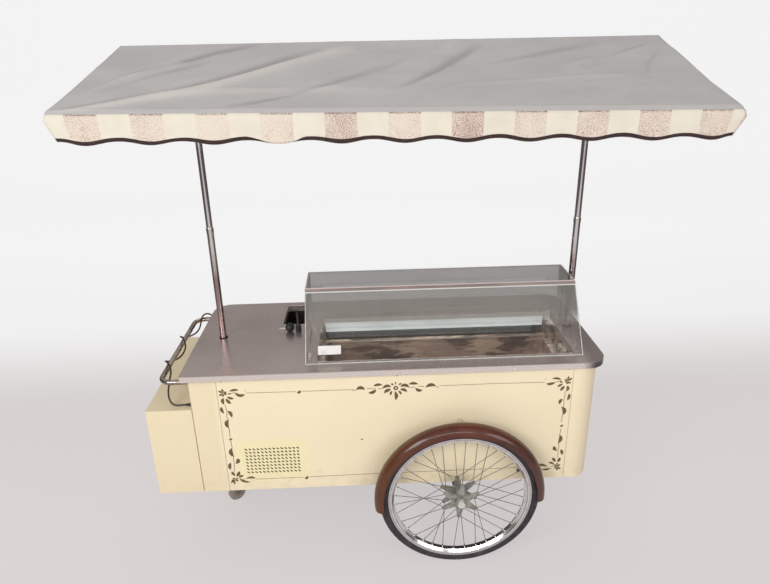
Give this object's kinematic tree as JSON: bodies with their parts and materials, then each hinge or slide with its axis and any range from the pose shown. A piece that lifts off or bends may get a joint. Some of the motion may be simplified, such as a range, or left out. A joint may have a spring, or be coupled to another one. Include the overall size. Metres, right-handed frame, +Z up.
{
  "type": "ice cream cart",
  "caption": "Two-wheeled ice cream vending cart with a glass display well, push handle and cloth canopy.",
  "frame": {"origin": "on the floor under the middle of the canopy, on the line of its two poles", "axes": "+X along the counter away from the push handle, +Y towards the vendor's side, +Z up"},
  "size_m": [2.116, 0.966, 2.057],
  "materials": {
    "cream_paint": "satin cream lacquer with light wear",
    "door_paint": "satin cream lacquer",
    "counter_steel": "brushed along its length, scratched",
    "tank_steel": "polished, smeared",
    "basin_steel": "polished",
    "well_white": "pale green-white",
    "dark_plastic": "black moulded plastic",
    "chrome": "bright",
    "rim_chrome": "bright, lightly pitted",
    "zinc": "zinc plated, dull",
    "frame_steel": "grey primer",
    "compressor_black": "black enamel",
    "fender_brown": "glossy brown enamel",
    "tyre_rubber": "matte with light dust",
    "grey_rubber": "scuffed grey",
    "grey_plastic": "scuffed grey",
    "glass": "clear, polished edges",
    "edge_trim": "bright anodised",
    "canvas": "waterproof canvas with a striped valance",
    "canopy_frame": "mill finish square tube",
    "cord_black": "matte sheath"
  },
  "bodies": {
    "cart": {"counter_top": "counter_steel", "left_panel": "cream_paint", "right_panel": "cream_paint", "front_panel": "cream_paint", "back_panel": "cream_paint", "floor_pan": "frame_steel", "end_locker": "cream_paint", "compressor": "compressor_black", "well_tank": "tank_steel", "well_strip": "well_white", "well_rail": "dark_plastic", "pan_ledge": "tank_steel", "ring_fittings": "chrome", "rinse_basin": "basin_steel", "tap_body": "dark_plastic", "tap_knob": "dark_plastic", "tap_lever": "chrome", "glass_sides": "glass", "glass_front": "glass", "glass_top": "glass", "glass_edge_rail": "edge_trim", "glass_clips": "chrome", "pole_sockets": "frame_steel", "pole_lowers": "chrome", "pole_collars": "chrome", "pole_uppers": "chrome", "pole_grommets": "dark_plastic", "canopy_eave_frame": "canopy_frame", "canopy_ridge_tube": "canopy_frame", "canopy_arms": "canopy_frame", "canopy_rafters": "canopy_frame", "canopy_cover": "canvas", "push_handle": "chrome", "front_fender": "fender_brown", "back_fender": "fender_brown", "fender_stays": "zinc", "axle_beam": "frame_steel", "axle": "zinc", "castor_leg": "frame_steel", "hinges_fixed": "zinc", "cord_gland": "dark_plastic", "power_cord": "cord_black", "power_plug": "dark_plastic"},
    "front_wheel": {"front_tyre": "tyre_rubber", "front_rim": "rim_chrome", "front_hub": "zinc", "front_spokes": "chrome"},
    "back_wheel": {"back_tyre": "tyre_rubber", "back_rim": "rim_chrome", "back_hub": "zinc", "back_spokes": "chrome"},
    "castor_head": {"castor_fork": "zinc", "castor_bolt": "zinc"},
    "castor_roller": {"castor_tread": "grey_rubber", "castor_centre": "grey_plastic"},
    "door": {"storage_door": "door_paint", "hinges_moving": "zinc", "door_pull": "chrome"}
  },
  "joints": [
    {"name": "front_wheel_spin", "type": "hinge", "parent": "cart", "child": "front_wheel", "pos_m": [0.2294, -0.378, 0.3269], "axis": [0, 1, 0], "continuous": true},
    {"name": "back_wheel_spin", "type": "hinge", "parent": "cart", "child": "back_wheel", "pos_m": [0.2294, 0.406, 0.3269], "axis": [0, 1, 0], "continuous": true},
    {"name": "castor_swivel", "type": "hinge", "parent": "cart", "child": "castor_head", "pos_m": [-0.758, 0.08, 0.118], "axis": [0, 0, 1], "continuous": true},
    {"name": "castor_roll", "type": "hinge", "parent": "castor_head", "child": "castor_roller", "pos_m": [-0.78421, 0.06165, 0.04], "axis": [0.5736, -0.8192, 0], "continuous": true},
    {"name": "door_swing", "type": "hinge", "parent": "cart", "child": "door", "pos_m": [-0.687, 0.348, 0.6], "axis": [0, 0, 1], "range_deg": [0, 110]}
  ]
}
